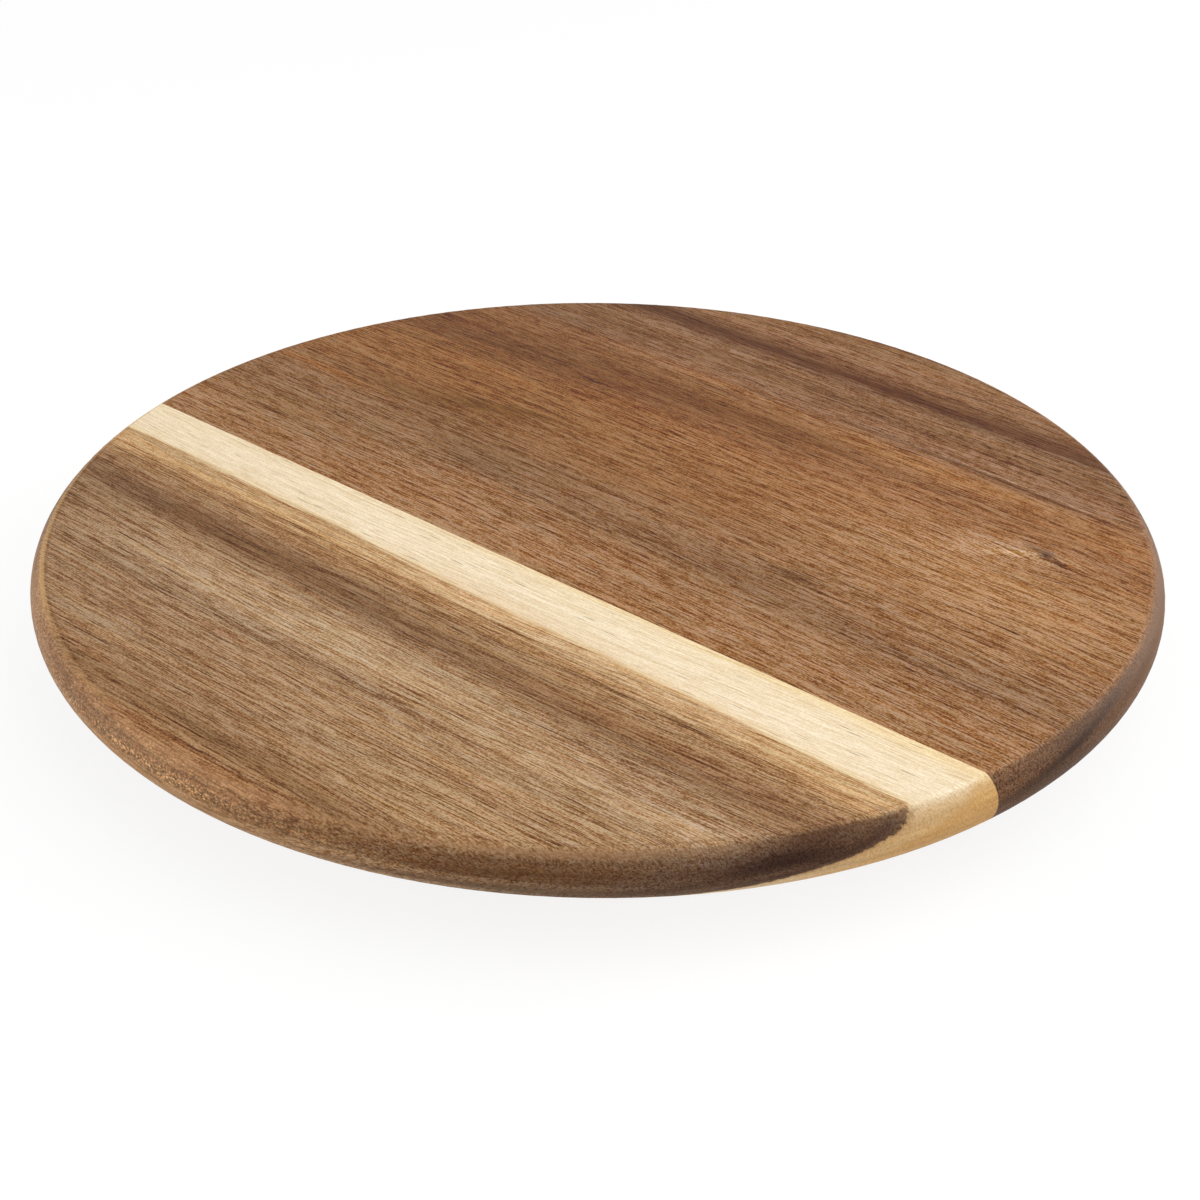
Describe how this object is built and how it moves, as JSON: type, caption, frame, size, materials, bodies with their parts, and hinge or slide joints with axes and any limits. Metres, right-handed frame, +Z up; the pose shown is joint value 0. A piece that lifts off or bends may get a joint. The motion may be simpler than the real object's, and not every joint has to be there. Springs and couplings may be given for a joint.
{
  "type": "lazy susan",
  "caption": "Round wooden serving board with a rounded edge that turns freely on a hidden ball-bearing swivel over a small wooden base with rubber feet.",
  "frame": {"origin": "centre of the turning axis on the surface that the feet stand on", "axes": "+Z up along the turning axis, +X along the board's grain, +Y across the grain towards the wider plank"},
  "size_m": [0.35, 0.35, 0.039],
  "materials": {
    "back_plank_wood": "oiled satin",
    "front_plank_wood": "oiled satin",
    "base_wood": "oiled satin",
    "bearing_steel": "zinc-plated pressed sheet",
    "ball_steel": "polished",
    "screw_zinc": "zinc-plated",
    "foot_rubber": "matte"
  },
  "bodies": {
    "base": {"base_disc": "base_wood", "lower_bearing_plate": "bearing_steel", "base_screw_1": "screw_zinc", "base_screw_2": "screw_zinc", "base_screw_3": "screw_zinc", "base_screw_4": "screw_zinc", "foot_1": "foot_rubber", "foot_2": "foot_rubber", "foot_3": "foot_rubber", "foot_4": "foot_rubber", "foot_screw_1": "screw_zinc", "foot_screw_2": "screw_zinc", "foot_screw_3": "screw_zinc", "foot_screw_4": "screw_zinc"},
    "turntable": {"back_plank": "back_plank_wood", "front_plank": "front_plank_wood", "upper_bearing_plate": "bearing_steel", "board_screw_1": "screw_zinc", "board_screw_2": "screw_zinc", "board_screw_3": "screw_zinc", "board_screw_4": "screw_zinc"},
    "ball_set": {"bearing_balls": "ball_steel"}
  },
  "joints": [
    {"name": "turntable_spin", "type": "hinge", "parent": "base", "child": "turntable", "pos_m": [0, 0, 0.021], "axis": [0, 0, 1], "continuous": true},
    {"name": "ball_orbit", "type": "hinge", "parent": "base", "child": "ball_set", "pos_m": [0, 0, 0.021], "axis": [0, 0, 1], "continuous": true}
  ],
  "couplings": [
    {"joint": "ball_orbit", "follows": "turntable_spin", "ratio": 0.5}
  ]
}
